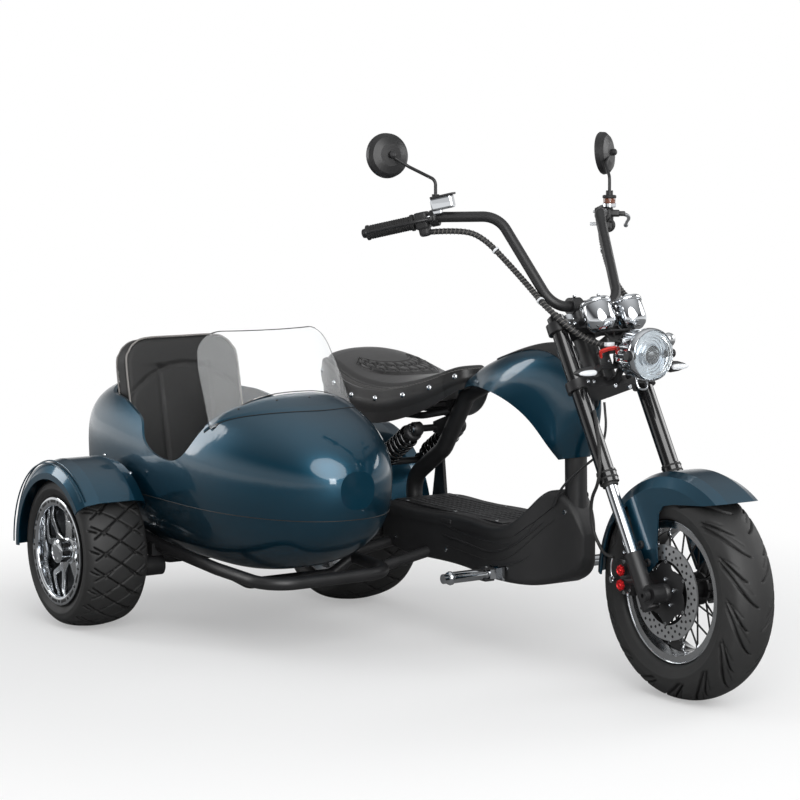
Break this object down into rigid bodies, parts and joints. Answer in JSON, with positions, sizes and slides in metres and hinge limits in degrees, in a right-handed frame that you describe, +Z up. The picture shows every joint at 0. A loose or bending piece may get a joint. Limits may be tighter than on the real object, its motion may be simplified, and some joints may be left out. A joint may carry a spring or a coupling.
{
  "type": "sidecar motorcycle",
  "caption": "Chopper-style electric scooter with tall bars, wide tyres and an egg-shaped passenger sidecar with a clear screen.",
  "frame": {"origin": "on the ground under the middle of the bounding box", "axes": "+X forward, +Y to the rider's left, +Z up"},
  "size_m": [2.1689, 1.2865, 1.289],
  "materials": {
    "blue_paint": "deep metallic gloss",
    "black_paint": "satin powder coat",
    "black_plastic": "fine grain",
    "chrome": "polished",
    "alloy": "polished and machined",
    "steel": "bright",
    "tyre": "black rubber",
    "grip_rubber": "ribbed black rubber",
    "leather": "stitched black leather",
    "clear_screen": "clear sheet",
    "lamp_glass": "fluted clear lens",
    "red_lens": "red lens"
  },
  "bodies": {
    "chassis": {"main_frame": "black_paint", "battery_box": "black_paint", "tank_cover": "blue_paint", "tank_pad": "black_plastic", "wiring_lead": "black_plastic", "foot_pegs": "chrome", "saddle": "leather", "saddle_bracket": "black_paint", "swingarm": "black_paint", "rear_axle": "steel", "shocks": "black_paint", "tail_lamp": "red_lens", "rear_guard_stays": "black_paint", "rear_mudguard": "blue_paint", "sidecar_shell": "blue_paint", "sidecar_tub": "blue_paint", "sidecar_screen": "clear_screen", "sidecar_frame": "black_paint", "sidecar_struts": "black_paint", "sidecar_seat_box": "black_plastic", "sidecar_cushion": "leather", "sidecar_backrest": "leather", "sidecar_arm": "black_paint", "sidecar_axle": "steel", "sidecar_mudguard": "blue_paint"},
    "fork": {"fork_tubes": "black_paint", "fork_sliders": "chrome", "fork_feet": "black_paint", "front_axle": "steel", "lower_clamp": "black_paint", "upper_clamp": "black_paint", "handlebar": "black_paint", "grips": "grip_rubber", "switch_blocks": "black_plastic", "brake_levers": "alloy", "mirrors": "black_plastic", "bar_risers": "black_paint", "headlamp": "chrome", "headlamp_lens": "lamp_glass", "lamp_bracket": "black_paint", "indicators": "chrome", "gauges": "chrome", "gauge_bracket": "black_paint", "front_caliper": "black_paint", "front_mudguard": "blue_paint", "control_harness": "black_plastic", "brake_hose": "black_plastic"},
    "front_wheel": {"front_tyre": "tyre", "front_rim": "alloy", "front_hub": "black_paint", "front_disc": "steel"},
    "rear_wheel": {"rear_tyre": "tyre", "rear_rim": "alloy"},
    "sidecar_wheel": {"sidecar_tyre": "tyre", "sidecar_rim": "alloy"}
  },
  "joints": [
    {"name": "steering", "type": "hinge", "parent": "chassis", "child": "fork", "pos_m": [0.46811, 0.235, 0.73862], "axis": [-0.5, 0, 0.866], "range_deg": [-30, 30]},
    {"name": "front_wheel_spin", "type": "hinge", "parent": "fork", "child": "front_wheel", "pos_m": [0.827, 0.235, 0.253], "axis": [0, 1, 0], "continuous": true},
    {"name": "rear_wheel_spin", "type": "hinge", "parent": "chassis", "child": "rear_wheel", "pos_m": [-0.623, 0.235, 0.238], "axis": [0, 1, 0], "continuous": true},
    {"name": "sidecar_wheel_spin", "type": "hinge", "parent": "chassis", "child": "sidecar_wheel", "pos_m": [-0.691, -0.537, 0.203], "axis": [0, 1, 0], "continuous": true}
  ]
}
